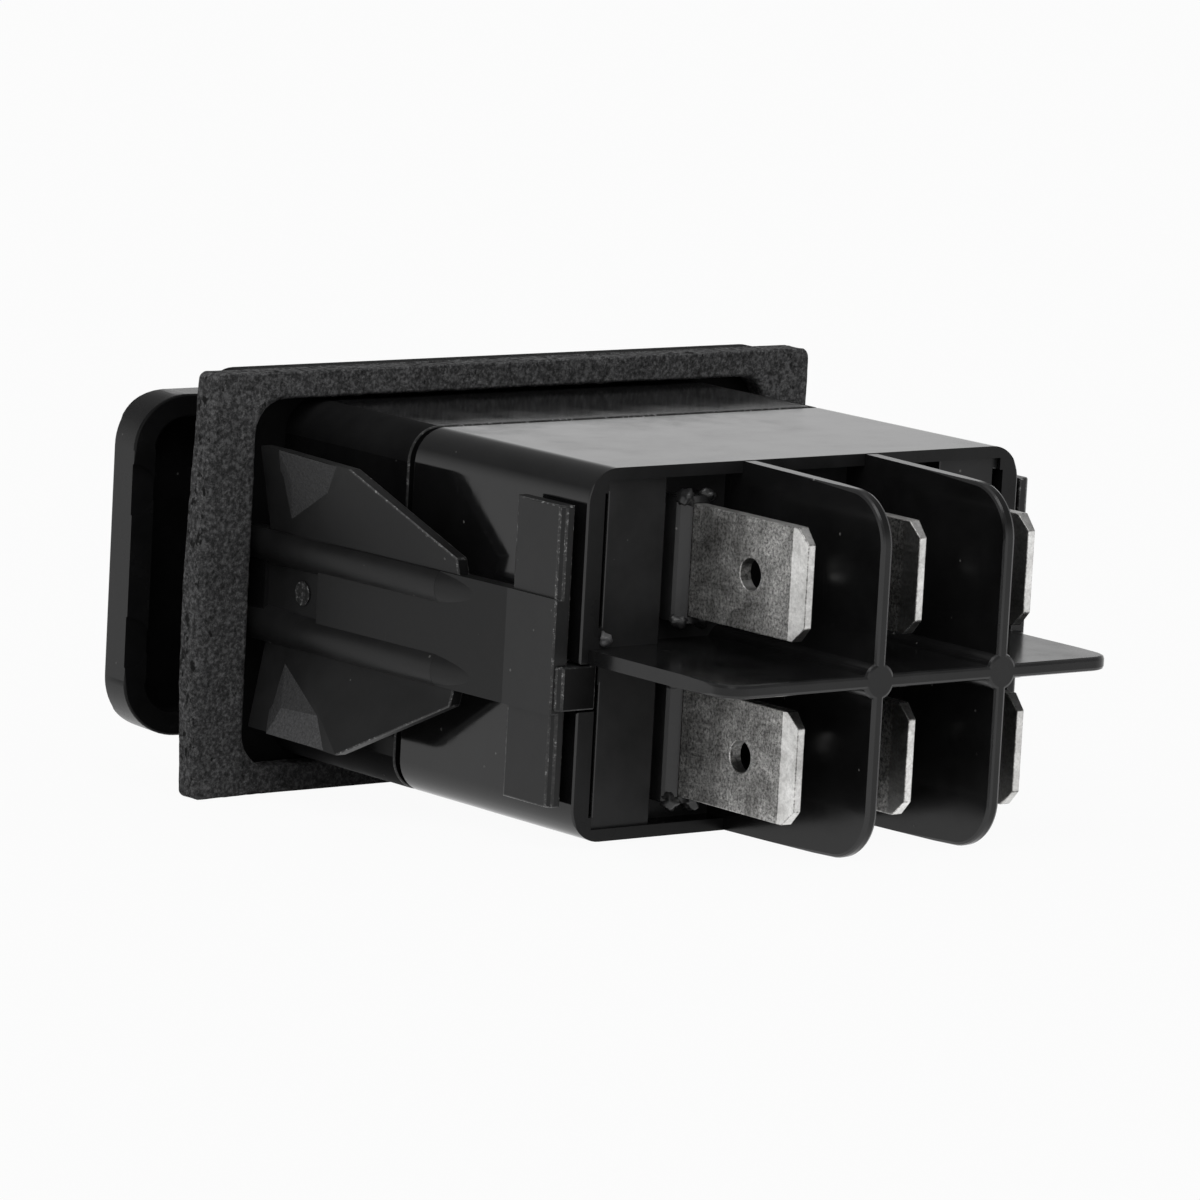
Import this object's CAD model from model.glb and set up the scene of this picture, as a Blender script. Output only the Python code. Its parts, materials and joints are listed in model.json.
"""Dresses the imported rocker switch: edge-softened mouldings, foam gasket, materials, light and camera."""

import json
import math

import bmesh
import bpy
from mathutils import Matrix, Vector, noise

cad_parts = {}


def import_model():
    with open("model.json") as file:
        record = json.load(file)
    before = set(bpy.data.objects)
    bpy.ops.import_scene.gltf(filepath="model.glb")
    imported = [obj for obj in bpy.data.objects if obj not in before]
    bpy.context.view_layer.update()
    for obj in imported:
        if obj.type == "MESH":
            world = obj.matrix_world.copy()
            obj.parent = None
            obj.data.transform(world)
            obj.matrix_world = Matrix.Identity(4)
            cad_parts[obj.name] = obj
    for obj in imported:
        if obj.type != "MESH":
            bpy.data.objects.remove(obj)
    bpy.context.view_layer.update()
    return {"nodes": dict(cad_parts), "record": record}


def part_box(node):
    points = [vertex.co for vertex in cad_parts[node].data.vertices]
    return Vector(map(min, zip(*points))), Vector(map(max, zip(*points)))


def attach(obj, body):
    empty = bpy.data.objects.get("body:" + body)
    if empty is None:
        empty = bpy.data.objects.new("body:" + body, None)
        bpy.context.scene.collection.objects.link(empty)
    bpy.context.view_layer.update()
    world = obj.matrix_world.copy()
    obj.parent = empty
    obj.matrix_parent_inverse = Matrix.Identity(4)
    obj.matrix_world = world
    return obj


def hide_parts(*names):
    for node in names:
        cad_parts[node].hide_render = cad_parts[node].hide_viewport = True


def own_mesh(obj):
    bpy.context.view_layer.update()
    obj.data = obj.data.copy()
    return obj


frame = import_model()
MM = 0.001
SCENE = bpy.context.scene
NODES = frame["nodes"]
RECORD = frame["record"]
SLOTS = {part["node"]: part["material_slot"] for part in RECORD["subparts"]}
BODY_OF = {n: body for body, members in RECORD["behaviour"]["bodies"].items() for n in members}

# Joining of the CAD's triangles: points this near in millimetres, faces this flat in degrees
WELD, FLAT = 0.002, 0.05

# Rounding: edges over this angle in degrees, in so many steps, with so many widths of room beside an edge
ROUND_FROM, ROUND_STEPS, ROOM = 35, 2, 2.5
FRAME_EDGE, BASE_EDGE, FIN_EDGE, ROCKER_EDGE, TAB_EDGE = 0.1, 0.1, 0.2, 0.12, 0.05

# Angles in degrees from which an edge is shaded sharp, within one finish and between two
SHARP_WITHIN, SHARP_BETWEEN = 15, 2

# The plane of a wing's ramp, and the pads that stand on it, in millimetres
RAMP_FOOT = 17.74
RAMP_FROM_Y, RAMP_SLOPE_Y = 2.3, 0.0867
RAMP_FROM_Z, RAMP_SLOPE_Z = 2.9, 0.2094
PAD_Y = (1.9, 9.2)
PAD_Z = (4.3, 8.2)
PAD_PROUD = 0.03
PAD_TOP_Y, PAD_TOP_Z = 3.5, 6.6

# Cross bar, ejector mark, legs and flange of the frame, in millimetres
BAR_FROM, BAR_OUTSIDE = 21.9, 15.7
BAR_FRONT, BAR_REACH = 22.0, 20.0
MARK_Y, MARK_OUTSIDE, MARK_R = 3.4, 17.65, 0.75
LEG_OUTSIDE, LEG_HALF = 16.0, 3.3
LEG_PLANE, LEG_LEAN, LEG_RAISE = 17.967, 0.0325, 0.08
FLANGE_TO = -1.75

# Terminals and their beads, and the levels of the base in Y, in millimetres
COLUMNS = (-7.95, 0.0, 7.95)
ROWS = (-5.1, 5.1)
POCKET, RIM, FINS_FROM = 25.3, 26.8, 28.0
RIM_REACH = 15.3
LEVEL_SLACK, SAME_LEVEL = 0.1, 0.02
BEAD_HALF, BEAD_END, BEAD_SLACK = 1.25, 3.5, 0.2
BEAD_AREA = 12.0
TAB_COINED_FROM = 35.7

# Limits of normals: slanted on the neck, flat on a leg, rearward on the base, sideways on a terminal
SLANTED, FLAT_ON_LEG, REARWARD, SIDEWAYS = 0.02, 0.999, 0.7, 0.5

# Layers of noise: rate per metre, height, shift
NO_SHIFT = (0, 0, 0)
LUMP_NOISE = ((2200, 0.55, NO_SHIFT), (5200, 0.3, NO_SHIFT))
FOAM_JAG = ((900, 0.05, NO_SHIFT), (2600, 0.035, NO_SHIFT))
FOAM_LUMPS = ((420, 0.05, (7, 3, 1)), (1700, 0.03, NO_SHIFT))

# Melted lumps in millimetres: beside the terminal, below the rim, radius; and the nub's place and radius
LUMP_BESIDE, LUMP_SUNK, LUMP_R = 0.75, 0.1, 0.5
RIM_NUB = (14.0, 26.8, 1.0, 0.38)

# Foam ring in millimetres: half sizes and corner of its opening, outer corner
FOAM_OPENING = (18.9, 10.75, 2.0)
FOAM_CORNER = 0.5

# Steps along the foam's sides and round a corner, and its section as shares of its width and depth
FOAM_STEPS = ((150, 90), 6)
FOAM_SHARES = (0.0, 0.05, 0.12, 0.25, 0.4, 0.6, 0.75, 0.88, 0.95, 1.0)
FOAM_RISE = (0.12, 0.3, 0.5, 0.7, 0.88)

# Unevenness of the foam in millimetres: swell of one end, sway of the other sides, inset, crushed edges
FOAM_SWELL = (0.12, 0.4)
FOAM_END_FROM, FOAM_END_OVER = 0.55, 0.35
FOAM_SWAY, FOAM_SWAY_RATE = 0.3, 75
FOAM_INSET, FOAM_CRUSH = 0.07, 0.08

# Floor: tilt in degrees, place in millimetres, radius in metres, tone, share of plain white where seen
FLOOR_TILT = 3.3
FLOOR_AT = (0, -1.8, -12.5)
FLOOR_RADIUS, FLOOR_SEGMENTS = 30, 96
FLOOR_TONE = (0.42, 0.42, 0.42)
FLOOR_WHITE = 0.95

# Light: brightness of the mirrored studio by height, strength all round, and the key's direction and spread
STUDIO = [(0.0, 1.0), (0.16, 0.8), (0.4, 0.26), (0.8, 0.24), (1.0, 0.7)]
AMBIENT = 0.62
KEY_TOWARDS, KEY_STRENGTH, KEY_SPREAD = (-0.35, -0.3, -0.9), 1.1, 50

# Camera fitted to the photo: angles in radians, lengths in millimetres, focal length and width in pixels
AZIMUTH, ELEVATION, ROLL = 2.47063852, 0.158254165, 0.0538150996
DISTANCE = 421.664938
TARGET = (13.0423294, 25.0, 2.78850385)
FOCAL, PHOTO_WIDTH, SENSOR = 7604.4661, 1200, 36
CLIP = (0.01, 100)


# Node helpers

def new_material(name):
    """A material with its node tree and its shader."""
    mat = bpy.data.materials.new(name)
    mat.use_nodes = True
    tree = mat.node_tree
    bsdf = next(n for n in tree.nodes if n.type == "BSDF_PRINCIPLED")
    return mat, tree, bsdf


def add(tree, kind, **settings):
    """A new node of a kind, with its settings."""
    node = tree.nodes.new(kind)
    for key, value in settings.items():
        setattr(node, key, value)
    return node


def feed(tree, node, values):
    """Puts numbers and colours on a node's inputs, and links other nodes' outputs to them."""
    for key, value in values.items():
        socket = node.inputs[key]
        if isinstance(value, tuple):
            socket.default_value = (*value, 1)
        elif isinstance(value, (int, float)):
            socket.default_value = value
        else:
            tree.links.new(value, socket)


def place(tree, scale=(1, 1, 1), turn=(0, 0, 0)):
    """Object coordinates in millimetres, stretched by scale and turned."""
    source = add(tree, "ShaderNodeTexCoord")
    mapping = add(tree, "ShaderNodeMapping")
    mapping.inputs["Scale"].default_value = [s / MM for s in scale]
    mapping.inputs["Rotation"].default_value = turn
    feed(tree, mapping, {"Vector": source.outputs["Object"]})
    return mapping.outputs["Vector"]


def grain(tree, vector, scale, detail=3.0, rough=0.55, distortion=0.0):
    """Noise from 0 to 1, of a scale per millimetre."""
    node = add(tree, "ShaderNodeTexNoise")
    feed(tree, node, {"Vector": vector, "Scale": scale, "Detail": detail, "Roughness": rough,
                      "Distortion": distortion})
    return node.outputs["Fac"]


def cells(tree, vector, scale):
    """Distance from the middle of the nearest cell, of a scale per millimetre."""
    node = add(tree, "ShaderNodeTexVoronoi", feature="F1")
    feed(tree, node, {"Vector": vector, "Scale": scale})
    return node.outputs["Distance"]


def ramp(tree, value, stops):
    """Maps a value through stops, each a position and a level or colour."""
    node = add(tree, "ShaderNodeValToRGB")
    points = node.color_ramp.elements
    while len(points) < len(stops):
        points.new(0.5)
    for point, (at, level) in zip(points, stops):
        point.position = at
        point.color = (*level, 1) if isinstance(level, tuple) else (level, level, level, 1)
    feed(tree, node, {"Fac": value})
    return node.outputs["Color"]


def maths(tree, operation, a, b):
    """Two values, each a number or an output, joined by an operation."""
    node = add(tree, "ShaderNodeMath", operation=operation)
    feed(tree, node, {0: a, 1: b})
    return node.outputs["Value"]


def mixed(tree, factor, a, b, blend="MIX"):
    """Colour a where factor is 0, and b, or a blended with b, where it is 1."""
    node = add(tree, "ShaderNodeMix", data_type="RGBA", blend_type=blend)
    feed(tree, node, {"Factor": factor, "A": a, "B": b})
    return node.outputs["Result"]


def bumps(tree, bsdf, layers):
    """Chains bump nodes: each layer is a height, a strength and a depth in millimetres."""
    normal = None
    for height, strength, depth in layers:
        node = add(tree, "ShaderNodeBump")
        feed(tree, node, {"Height": height, "Strength": strength, "Distance": depth * MM})
        if normal is not None:
            feed(tree, node, {"Normal": normal})
        normal = node.outputs["Normal"]
    feed(tree, bsdf, {"Normal": normal})


def scratches(tree, turn, density):
    """A mask of thin broken lines that run one way."""
    line = grain(tree, place(tree, (0.05, 2.4, 0.05), turn), scale=1.0, detail=2.0)
    patch = grain(tree, place(tree, (0.5, 0.5, 0.5)), scale=1.0, detail=2.0)
    thin = ramp(tree, line, [(0.0, 0.0), (0.498, 0.0), (0.5, 1.0), (0.502, 0.0)])
    where = ramp(tree, patch, [(0.0, 0.0), (1 - density, 0.0), (1 - density + 0.06, 1.0)])
    return maths(tree, "MULTIPLY", thin, where)


def scaled(colour, factor, lift=0.0):
    """A colour times a factor, lifted, up to white."""
    return tuple(min(1.0, factor * c + lift) for c in colour)


# Materials

def moulded(name, colour, rough, specular, texture, wave=0.03, dust=0.25):
    """Moulded plastic: fine die texture, slight waviness and flow lines, handling marks and dust."""
    mat, tree, bsdf = new_material(name)
    fine = grain(tree, place(tree), scale=9.0, detail=4.0, rough=0.6)
    blotch = grain(tree, place(tree), scale=0.35, detail=3.0, rough=0.6)
    broad = grain(tree, place(tree), scale=0.12, detail=1.0)
    flow = grain(tree, place(tree, (0.07, 0.8, 0.5)), scale=1.0, detail=3.0)
    marks = scratches(tree, turn=(0.5, 0.9, 0.3), density=0.33)
    spots = ramp(tree, cells(tree, place(tree), scale=0.55), [(0.0, 1.0), (0.035, 1.0), (0.05, 0.0)])
    tone = ramp(tree, blotch, [(0.3, scaled(colour, 0.75)), (0.7, scaled(colour, 1.3))])
    worn = mixed(tree, maths(tree, "MULTIPLY", marks, 0.35), tone, scaled(colour, 5, lift=0.03))
    dusty = mixed(tree, maths(tree, "MULTIPLY", spots, dust), worn, (0.32, 0.32, 0.31))
    level = ramp(tree, blotch, [(0.25, max(0.03, rough - 0.05)), (0.75, rough + 0.06)])
    scuffed = maths(tree, "ADD", level, maths(tree, "MULTIPLY", marks, 0.2))
    feed(tree, bsdf, {"Base Color": dusty, "Roughness": scuffed, "Specular IOR Level": specular})
    bumps(tree, bsdf, [(broad, 0.35, wave), (flow, 0.35, 0.3 * wave), (fine, texture, 0.02)])
    return mat


def grip_material(name, dark, pale):
    """Spark-eroded grip texture of the pads on the wings, from its dark to its pale tone."""
    mat, tree, bsdf = new_material(name)
    pits = cells(tree, place(tree), scale=5.5)
    fine = grain(tree, place(tree), scale=7.0, detail=4.0, rough=0.7)
    tone = ramp(tree, fine, [(0.3, dark), (0.7, pale)])
    feed(tree, bsdf, {"Base Color": tone, "Roughness": 0.62, "Specular IOR Level": 0.35})
    bumps(tree, bsdf, [(pits, 0.5, 0.08), (fine, 0.5, 0.04)])
    return mat


def worn_material(name):
    """Worn plastic: flash and wear break up into pale specks."""
    mat, tree, bsdf = new_material(name)
    speck = grain(tree, place(tree), scale=4.5, detail=4.0, rough=0.7)
    stretch = ramp(tree, grain(tree, place(tree), scale=0.55, detail=2.0), [(0.4, 0.86), (0.48, 1.0)])
    level = maths(tree, "MULTIPLY", speck, stretch)
    tone = ramp(tree, level, [(0.4, 0.01), (0.55, 0.035), (0.68, 0.3)])
    feed(tree, bsdf, {"Base Color": tone, "Roughness": 0.3, "Specular IOR Level": 0.4})
    bumps(tree, bsdf, [(speck, 0.4, 0.04)])
    return mat


def foam_material(name, pit_from, pit_to):
    """Closed-cell foam: torn cells, pale specks, dark pores below the two levels given, no gloss."""
    mat, tree, bsdf = new_material(name)
    pores = cells(tree, place(tree), scale=2.4)
    fine = grain(tree, place(tree), scale=4.4, detail=5.0, rough=0.75)
    cloud = grain(tree, place(tree), scale=0.5, detail=2.0)
    speck = grain(tree, place(tree), scale=2.3, detail=3.0, rough=0.6)
    pit = grain(tree, place(tree, (1.3, 1, 0.8)), scale=1.7, detail=3.0, rough=0.6)
    tone = ramp(tree, fine, [(0.33, 0.017), (0.5, (0.058, 0.058, 0.059)), (0.67, (0.18, 0.18, 0.182))])
    pale = ramp(tree, speck, [(0.0, 0.0), (0.55, 0.0), (0.68, 0.7)])
    speckled = mixed(tree, pale, tone, (0.15, 0.15, 0.152))
    dark = ramp(tree, pit, [(pit_from, 1.0), (pit_to, 0.0)])
    pitted = mixed(tree, dark, speckled, (0.012, 0.012, 0.012))
    shade = ramp(tree, cloud, [(0.3, 0.78), (0.7, 1.0)])
    shaded = mixed(tree, 1.0, pitted, shade, "MULTIPLY")
    feed(tree, bsdf, {"Base Color": shaded, "Roughness": 0.95, "Specular IOR Level": 0.12})
    bumps(tree, bsdf, [(pores, 0.45, 0.1), (fine, 0.5, 0.06)])
    return mat


def tinned_material(name, dull, bright, rough, relief):
    """Tinned strip from its dull to its bright tone: granular mottle, rolled streaks and scratches."""
    mat, tree, bsdf = new_material(name)
    rolled = place(tree, (0.5, 0.35, 5.0), (0.35, 0, 0))
    streak = grain(tree, rolled, scale=1.6, detail=5.0, rough=0.65)
    stain = grain(tree, place(tree), scale=0.45, detail=6.0, rough=0.7, distortion=0.6)
    mottle = grain(tree, place(tree), scale=5.5, detail=5.0, rough=0.75)
    marks = scratches(tree, turn=(0.9, 0.2, 0.4), density=0.62)
    tone = ramp(tree, stain, [(0.3, dull), (0.62, bright)])
    fleck = ramp(tree, mottle, [(0.38, 1.0 - 1.4 * relief), (0.6, 1.0)])
    toned = mixed(tree, 1.0, tone, fleck, "MULTIPLY")
    scored = mixed(tree, maths(tree, "MULTIPLY", marks, 0.7), toned, (0.9, 0.9, 0.88))
    level = ramp(tree, streak, [(0.25, rough - 0.08), (0.75, rough + 0.1)])
    feed(tree, bsdf, {"Base Color": scored, "Roughness": level, "Metallic": 1.0})
    bumps(tree, bsdf, [(streak, 0.6 * relief, 0.02), (mottle, relief, 0.025)])
    return mat


def metal(name, colour, rough):
    """Plain bright metal of a hidden inner piece, with drawn streaks."""
    mat, tree, bsdf = new_material(name)
    streak = grain(tree, place(tree, (0.6, 6.0, 0.6)), scale=1.0, detail=3.0)
    tone = ramp(tree, streak, [(0.3, scaled(colour, 0.8)), (0.7, colour)])
    level = ramp(tree, streak, [(0.2, rough), (0.8, rough + 0.15)])
    feed(tree, bsdf, {"Base Color": tone, "Roughness": level, "Metallic": 1.0})
    return mat


# Tones that several plastics share
BLACK = (0.006, 0.006, 0.0062)
SOFT_BLACK = (0.012, 0.012, 0.0123)
PALE_BLACK = (0.02, 0.02, 0.0205)

# The finish of each of the record's material slots
MATERIALS = {
    "satin_black_plastic": moulded(
        "satin_black", BLACK, rough=0.12, specular=0.07, texture=0.04, wave=0.02),
    "gloss_black_plastic": moulded(
        "gloss_black", BLACK, rough=0.1, specular=0.36, texture=0.02, dust=0.35),
    "rocker_black_plastic": moulded(
        "rocker_black", BLACK, rough=0.24, specular=0.13, texture=0.08, dust=0.2),
    "foam": foam_material("gasket_foam", pit_from=0.28, pit_to=0.36),
    "tinned_brass": tinned_material(
        "tinned_strip", (0.22, 0.216, 0.207), (0.92, 0.91, 0.89), rough=0.47, relief=0.54),
    "brass": metal("bare_brass", (0.6, 0.42, 0.14), rough=0.28),
    "silver_contact": metal("silver_alloy", (0.75, 0.75, 0.75), rough=0.3),
    "steel": metal("bright_steel", (0.5, 0.51, 0.52), rough=0.25),
    "spring_steel": metal("spring_wire", (0.45, 0.46, 0.47), rough=0.3),
    "nylon": moulded(
        "natural_nylon", (0.72, 0.7, 0.65), rough=0.4, specular=0.4, texture=0.1, wave=0.02, dust=0.0),
}

# Finishes of single faces; those with a grip texture keep crisp edges
GRIP = grip_material("grip_texture", (0.024, 0.024, 0.025), (0.085, 0.085, 0.087))
GRIP_SIDE = grip_material("grip_side", (0.014, 0.014, 0.0145), (0.045, 0.045, 0.046))
CRISP = (GRIP, GRIP_SIDE)
FOAM_CUT = foam_material("foam_cut_side", pit_from=0.38, pit_to=0.45)
COINED = tinned_material("coined_tin", (0.5, 0.495, 0.48), (0.9, 0.895, 0.88), rough=0.36, relief=0.16)
WORN = worn_material("worn_edge")
EJECTOR_MARK = worn_material("ejector_mark")
LEG = moulded("satin_leg", (0.0098, 0.0098, 0.01), rough=0.45, specular=0.18, texture=0.12)
EDGE = moulded("moulded_edge", SOFT_BLACK, rough=0.2, specular=0.5, texture=0.25, dust=0.4)
RIM_FACE = moulded("rim_face", (0.0125, 0.0125, 0.0128), rough=0.3, specular=0.14, texture=0.1, dust=0.35)
MELTED = moulded("melted_plastic", PALE_BLACK, rough=0.3, specular=0.5, texture=0.3, dust=0.4)
SHEARED = moulded("sheared_nub", (0.11, 0.11, 0.112), rough=0.4, specular=0.4, texture=0.3, dust=0.0)
BAR = moulded("satin_bar", SOFT_BLACK, rough=0.33, specular=0.24, texture=0.12)
REAR = moulded("rear_face", PALE_BLACK, rough=0.35, specular=0.2, texture=0.1, dust=0.35)
FIN = moulded("fin_black", (0.0085, 0.0085, 0.0087), rough=0.17, specular=0.3, texture=0.04, dust=0.4)
RIB = moulded("satin_rib", (0.009, 0.009, 0.0092), rough=0.36, specular=0.2, texture=0.12)
FLANGE = moulded("matte_flange", (0.008, 0.008, 0.0082), rough=0.6, specular=0.02, texture=0.12)


# Mouldings and terminals

def welded(node):
    """The mesh of a CAD node as a bmesh, with the points that its triangles share joined."""
    bm = bmesh.new()
    bm.from_mesh(NODES[node].data)
    bmesh.ops.remove_doubles(bm, verts=bm.verts, dist=WELD * MM)
    return bm


def added(name, bm):
    """Makes an object of a bmesh and puts it in the scene."""
    mesh = bpy.data.meshes.new(name)
    bm.to_mesh(mesh)
    bm.free()
    obj = bpy.data.objects.new(name, mesh)
    SCENE.collection.objects.link(obj)
    return obj


def linked(name, bm, node):
    """Makes a smooth object of a bmesh, with the finish and the body of a CAD node."""
    for face in bm.faces:
        face.smooth = True
    obj = added(name, bm)
    if "custom_normal" in obj.data.attributes:
        obj.data.attributes.remove(obj.data.attributes["custom_normal"])
    obj.data.materials.append(MATERIALS[SLOTS[node]])
    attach(obj, BODY_OF[node])
    return obj


def rounded(bm, edges, width, number):
    """Rounds edges of a bmesh by width millimetres; the new faces take the finish of that number."""
    bmesh.ops.bevel(
        bm, geom=edges, offset=width * MM, offset_type="OFFSET", segments=ROUND_STEPS, profile=0.5,
        affect="EDGES", clamp_overlap=False, material=number)


def roomy_edges(bm, width, keep):
    """The outer edges of a bmesh that have room to be rounded by width, of those that keep(edge) picks."""
    picked = {
        e for e in bm.edges
        if e.is_manifold and e.is_convex and e.calc_face_angle() > math.radians(ROUND_FROM) and keep(e)}
    while True:
        tight = {
            e for e in picked for v in e.verts for k in v.link_edges
            if k not in picked and k.calc_length() < ROOM * width * MM}
        if not tight:
            return list(picked)
        picked -= tight


def softened(node, width, zone=None, edge=None, wide=0.0, wide_from=0.0, crisp_at=None):
    """A copy of a CAD node with its outer edges rounded by width millimetres.

    Beyond wide_from in Y they are rounded by wide. zone(face) gives the finish of a face, and edge is the
    finish of the rounded edges; None stands for the node's own. Faces with a crisp finish keep their
    edges, and so do corners at crisp_at: a level in Y, up to a reach in X.
    """
    finishes = [MATERIALS[SLOTS[node]]]

    def number(finish):
        """The place of a finish in the copy's list, which it joins if it is new."""
        if finish is None:
            return 0
        if finish not in finishes:
            finishes.append(finish)
        return finishes.index(finish)

    bm = welded(node)
    bmesh.ops.dissolve_limit(
        bm, angle_limit=math.radians(FLAT), use_dissolve_boundaries=False, verts=bm.verts, edges=bm.edges)
    for face in bm.faces:
        face.material_index = number(zone(face)) if zone else 0
    crisp = {v for f in bm.faces if finishes[f.material_index] in CRISP for v in f.verts}
    if crisp_at:
        level, reach = crisp_at
        crisp |= {v for v in bm.verts if abs(v.co.y / MM - level) < SAME_LEVEL and abs(v.co.x / MM) < reach}
    if wide:
        far = roomy_edges(bm, wide, lambda e: all(v.co.y > wide_from * MM for v in e.verts))
        rounded(bm, far, wide, number(edge))
    crisp = {v for v in crisp if v.is_valid}
    near = roomy_edges(
        bm, width, lambda e: not crisp.intersection(e.verts) and
        (not wide or any(v.co.y < wide_from * MM for v in e.verts)))
    rounded(bm, near, width, number(edge))
    bmesh.ops.recalc_face_normals(bm, faces=bm.faces)
    for seam in bm.edges:
        same = len({f.material_index for f in seam.link_faces}) == 1
        limit = math.radians(SHARP_WITHIN if same else SHARP_BETWEEN)
        seam.smooth = not seam.is_manifold or seam.calc_face_angle() < limit
    obj = linked(node + "_finish", bm, node)
    for finish in finishes[1:]:
        obj.data.materials.append(finish)
    weigh = obj.modifiers.new("even_faces", "WEIGHTED_NORMAL")
    weigh.keep_sharp = True
    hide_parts(node)


def frame_zone(face):
    """Finishes of the frame: grip pads, ejector mark, cross bar, flange and the neck's roundings, legs."""
    centre, normal = face.calc_center_median() / MM, face.normal
    out, across = abs(centre.x), abs(centre.z)
    plane = RAMP_FOOT + (across - RAMP_FROM_Z) * RAMP_SLOPE_Z + (centre.y - RAMP_FROM_Y) * RAMP_SLOPE_Y
    if PAD_Y[0] < centre.y < PAD_Y[1] and PAD_Z[0] < across < PAD_Z[1] and out > plane + PAD_PROUD:
        return GRIP if centre.y > PAD_TOP_Y and centre.z < -PAD_TOP_Z else GRIP_SIDE
    if out > MARK_OUTSIDE and math.hypot(centre.y - MARK_Y, across) < MARK_R:
        return EJECTOR_MARK
    if centre.y > BAR_FROM and out > BAR_OUTSIDE:
        return BAR
    turned = min(abs(normal.x), abs(normal.z)) > SLANTED
    if centre.y < FLANGE_TO or (turned and out < LEG_OUTSIDE and centre.y > 0):
        return FLANGE
    if out < LEG_OUTSIDE or centre.y < 0:
        return None
    raised = out + LEG_LEAN * centre.y > LEG_PLANE + LEG_RAISE
    return RIB if across < LEG_HALF and (raised or abs(normal.x) < FLAT_ON_LEG) else LEG


def base_zone(face):
    """Finishes of the base: fins, beads round the terminals, faces in the rear and rim."""
    centre = face.calc_center_median() / MM
    if centre.y > FINS_FROM:
        return FIN
    if centre.y < POCKET - LEVEL_SLACK:
        return None
    beside = min(abs(centre.x - column) for column in COLUMNS)
    along = min(abs(centre.z - row) for row in ROWS)
    raised = centre.y > POCKET + LEVEL_SLACK and face.calc_area() / MM ** 2 < BEAD_AREA
    if raised and beside < BEAD_HALF and along < BEAD_END + BEAD_SLACK:
        return MELTED
    if face.normal.y < REARWARD:
        return None
    return REAR if centre.y < RIM - LEVEL_SLACK else RIM_FACE


def tab_zone(face):
    """Finishes of a terminal: coined at the bevels of its tip and its sheared edges."""
    tip = face.calc_center_median().y / MM > TAB_COINED_FROM
    return COINED if tip or abs(face.normal.z) > SIDEWAYS else None


# Foam, melted lumps and springs

def held(value):
    """A value held between 0 and 1."""
    return min(1.0, max(0.0, value))


def uneven(point, layers):
    """The height of layers of noise at a point."""
    return sum(noise.noise(point * rate + Vector(shift)) * height for rate, height, shift in layers)


def ring_loop(half_x, half_z, radius, straight, arc):
    """Points round a rounded rectangle in X and Z, the same count for any size."""
    corners = ((1, 1, 0), (-1, 1, 90), (-1, -1, 180), (1, -1, 270))

    def on_arc(corner, turn):
        """The point of a corner's arc at turn degrees from its start."""
        side_x, side_z, start = corner
        angle = math.radians(start + turn)
        x = side_x * (half_x - radius) + radius * math.cos(angle)
        return Vector((x, side_z * (half_z - radius) + radius * math.sin(angle)))

    points = []
    for index, corner in enumerate(corners):
        points += [on_arc(corner, 90 * k / arc) for k in range(arc + 1)]
        a, b = points[-1], on_arc(corners[(index + 1) % 4], 0)
        count = straight[index % 2]
        points += [a.lerp(b, k / count) for k in range(1, count)]
    return points


def foam_point(flat, across, depth, low, high):
    """One point of the foam's skin: where it lies on the ring, pushed in or out by the cut's unevenness."""
    point = Vector((flat.x, low.y + (high.y - low.y) * depth, flat.y))
    out = Vector((flat.x / high.x, 0, flat.y / high.z)).normalized()
    near = held((out.x - FOAM_END_FROM) / FOAM_END_OVER)
    bulge = FOAM_SWELL[0] + FOAM_SWELL[1] * held(1 - flat.y / high.z)
    swell = near * bulge - (1 - near) * abs(noise.noise(point * FOAM_SWAY_RATE)) * FOAM_SWAY
    at_face = depth in (0.0, 1.0)
    crush = FOAM_CRUSH if across in (0.0, 1.0) and at_face else 0.0
    jag = uneven(point, FOAM_JAG)
    sideways = 0.0
    if across == 1.0:
        sideways = jag + swell - FOAM_INSET - crush
    elif across == 0.0:
        sideways = jag + crush
    inwards = FOAM_INSET + crush - uneven(point, FOAM_LUMPS) if at_face else 0.0
    along = -inwards if depth == 1.0 else inwards
    return point + out * sideways * MM + Vector((0, along * MM, 0))


def foam_gasket():
    """Die-cut foam ring: crushed edges, wavy cut faces and a lumpy skin."""
    low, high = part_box("foam_gasket")
    outer = ring_loop(high.x, high.z, FOAM_CORNER * MM, *FOAM_STEPS)
    inner = ring_loop(*(size * MM for size in FOAM_OPENING), *FOAM_STEPS)
    section = [(s, 0.0) for s in FOAM_SHARES] + [(1.0, d) for d in FOAM_RISE]
    section += [(s, 1.0) for s in reversed(FOAM_SHARES)] + [(0.0, d) for d in reversed(FOAM_RISE)]
    bm = bmesh.new()
    rows = [
        [bm.verts.new(foam_point(a.lerp(b, across), across, depth, low, high)) for across, depth in section]
        for a, b in zip(inner, outer)]
    count = len(section)
    for i, row in enumerate(rows):
        after = rows[(i + 1) % len(rows)]
        for k in range(count):
            n = (k + 1) % count
            face = bm.faces.new((row[k], row[n], after[n], after[k]))
            face.material_index = int(section[k][0] == section[n][0] == 1.0)
    bmesh.ops.recalc_face_normals(bm, faces=bm.faces)
    obj = linked("gasket_foam_ring", bm, "foam_gasket")
    obj.data.materials.append(FOAM_CUT)
    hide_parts("foam_gasket")


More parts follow.
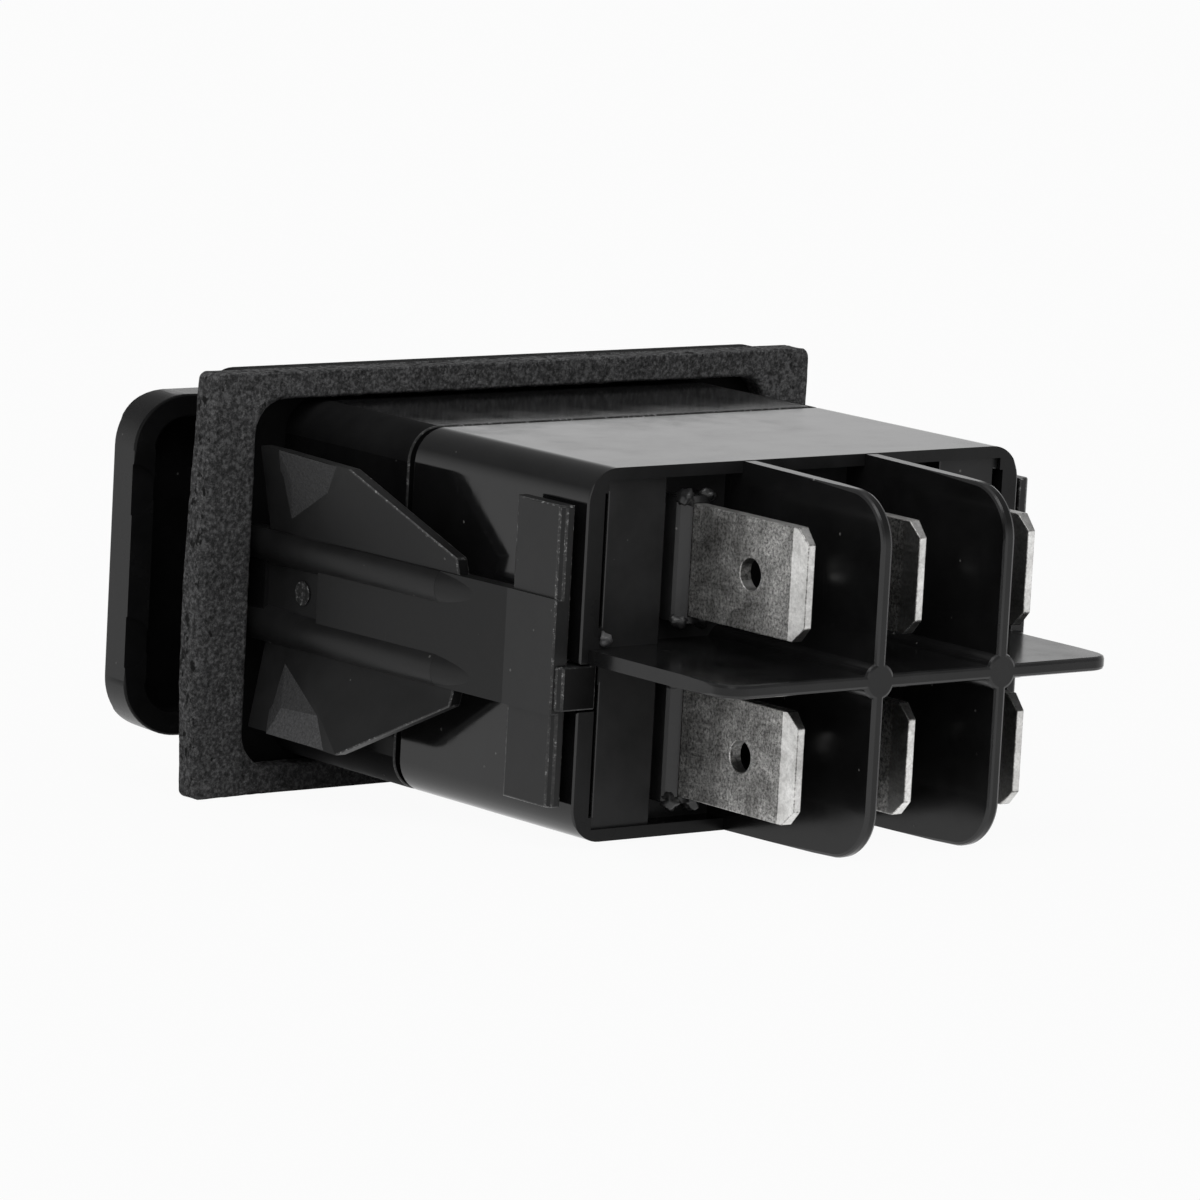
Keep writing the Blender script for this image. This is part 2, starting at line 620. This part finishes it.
def melted_lumps():
    """Uneven lumps of melted plastic at the ends of the terminals' beads, and a sheared nub on the rim."""
    spots = [
        (column + side * LUMP_BESIDE, RIM - LUMP_SUNK, row + end * BEAD_END, LUMP_R)
        for column in COLUMNS for row in ROWS for end in (-1, 1) for side in (-1, 1)]
    bm = bmesh.new()
    for x, y, z, size in spots + [RIM_NUB]:
        centre = Vector((x, y, z)) * MM
        made = bmesh.ops.create_icosphere(bm, subdivisions=3, radius=size * MM)
        for vert in made["verts"]:
            vert.co = vert.co * (1 + uneven(vert.co + centre, LUMP_NOISE)) + centre
    nub_faces = {face for vert in made["verts"] for face in vert.link_faces}
    for face in nub_faces:
        face.material_index = 1
    obj = linked("bead_lumps", bm, "base_housing")
    obj.data.materials[0] = MELTED
    obj.data.materials.append(SHEARED)


def plunger_springs():
    """Copies of the record's deforming nodes, the plunger springs, that shorten as the plungers go in."""
    for joint in RECORD["behaviour"]["joints"]:
        for row in joint.get("deforming_nodes", ()):
            node = row["node"]
            bm = welded(node)
            coil = linked(node + "_coil", bm, node)
            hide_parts(node)
            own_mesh(coil)


# Floor, light and camera

def floor():
    """Plain white floor, tilted as the switch lies on its gasket's edge and its fins."""
    bm = bmesh.new()
    bmesh.ops.create_circle(bm, cap_ends=True, radius=FLOOR_RADIUS, segments=FLOOR_SEGMENTS)
    obj = added("floor", bm)
    obj.rotation_euler = (math.radians(FLOOR_TILT), 0, 0)
    obj.location = [at * MM for at in FLOOR_AT]
    mat, tree, bsdf = new_material("floor_white")
    feed(tree, bsdf, {"Base Color": FLOOR_TONE, "Roughness": 0.9, "Specular IOR Level": 0.0})
    glow = add(tree, "ShaderNodeEmission")
    feed(tree, glow, {"Strength": 1.0})
    path = add(tree, "ShaderNodeLightPath").outputs
    seen = maths(tree, "MULTIPLY", path["Is Camera Ray"], FLOOR_WHITE)
    mirrored = maths(tree, "MAXIMUM", path["Is Glossy Ray"], path["Is Transmission Ray"])
    blend = add(tree, "ShaderNodeMixShader")
    feed(tree, blend, {
        "Fac": maths(tree, "MAXIMUM", seen, mirrored),
        1: bsdf.outputs["BSDF"], 2: glow.outputs["Emission"]})
    output = next(n for n in tree.nodes if n.type == "OUTPUT_MATERIAL")
    feed(tree, output, {"Surface": blend.outputs["Shader"]})
    obj.data.materials.append(mat)


def world():
    """White surroundings: plain where seen, a studio that dims overhead where mirrored, softer as light."""
    SCENE.world = bpy.data.worlds.new("studio")
    SCENE.world.use_nodes = True
    tree = SCENE.world.node_tree
    tree.nodes.clear()
    path = add(tree, "ShaderNodeLightPath").outputs
    direction = add(tree, "ShaderNodeTexCoord")
    split = add(tree, "ShaderNodeSeparateXYZ")
    feed(tree, split, {"Vector": direction.outputs["Generated"]})
    studio = ramp(tree, split.outputs["Z"], STUDIO)
    shown = add(tree, "ShaderNodeBackground")
    feed(tree, shown, {"Color": mixed(tree, path["Is Camera Ray"], studio, (1, 1, 1)), "Strength": 1.0})
    light = add(tree, "ShaderNodeBackground")
    feed(tree, light, {"Color": (1, 1, 1), "Strength": AMBIENT})
    seen = maths(tree, "MAXIMUM", path["Is Camera Ray"], path["Is Glossy Ray"])
    blend = add(tree, "ShaderNodeMixShader")
    feed(tree, blend, {
        "Fac": maths(tree, "MAXIMUM", seen, path["Is Transmission Ray"]),
        1: light.outputs["Background"], 2: shown.outputs["Background"]})
    output = add(tree, "ShaderNodeOutputWorld")
    feed(tree, output, {"Surface": blend.outputs["Shader"]})


def sun(name, towards, strength, spread):
    """A sun that shines in a direction, with a spread in degrees."""
    lamp = bpy.data.lights.new(name, "SUN")
    lamp.energy = strength
    lamp.angle = math.radians(spread)
    obj = bpy.data.objects.new(name, lamp)
    obj.rotation_euler = Vector(towards).to_track_quat("-Z", "Y").to_euler()
    SCENE.collection.objects.link(obj)


def camera():
    """The photograph's viewpoint, fitted to the part's own corners."""
    flat = math.cos(ELEVATION)
    back = Vector((math.sin(AZIMUTH) * flat, -math.cos(AZIMUTH) * flat, math.sin(ELEVATION)))
    right = Vector((0, 0, 1)).cross(back).normalized()
    up = back.cross(right)
    c, s = math.cos(ROLL), math.sin(ROLL)
    side, top = c * right + s * up, c * up - s * right
    data = bpy.data.cameras.new("camera")
    data.sensor_width = SENSOR
    data.lens = FOCAL / PHOTO_WIDTH * SENSOR
    data.clip_start, data.clip_end = CLIP
    obj = bpy.data.objects.new("camera", data)
    pose = Matrix((side, top, back)).transposed().to_4x4()
    pose.translation = Vector(TARGET) * MM + back * (DISTANCE * MM)
    obj.matrix_world = pose
    SCENE.collection.objects.link(obj)
    SCENE.camera = obj


# The scene

for node_name, node_object in NODES.items():
    node_object.data.materials.clear()
    node_object.data.materials.append(MATERIALS[SLOTS[node_name]])

softened("bezel_frame", FRAME_EDGE, frame_zone, WORN, crisp_at=(BAR_FRONT, BAR_REACH))
softened("base_housing", BASE_EDGE, base_zone, EDGE, FIN_EDGE, RIM, crisp_at=(RIM, RIM_REACH))
softened("rocker", ROCKER_EDGE)
for node_name in [n for n in NODES if n.endswith("_terminal")]:
    softened(node_name, TAB_EDGE, tab_zone)
foam_gasket()
melted_lumps()
plunger_springs()

floor()
world()
sun("key", KEY_TOWARDS, KEY_STRENGTH, KEY_SPREAD)
camera()
SCENE.view_settings.view_transform = "Standard"
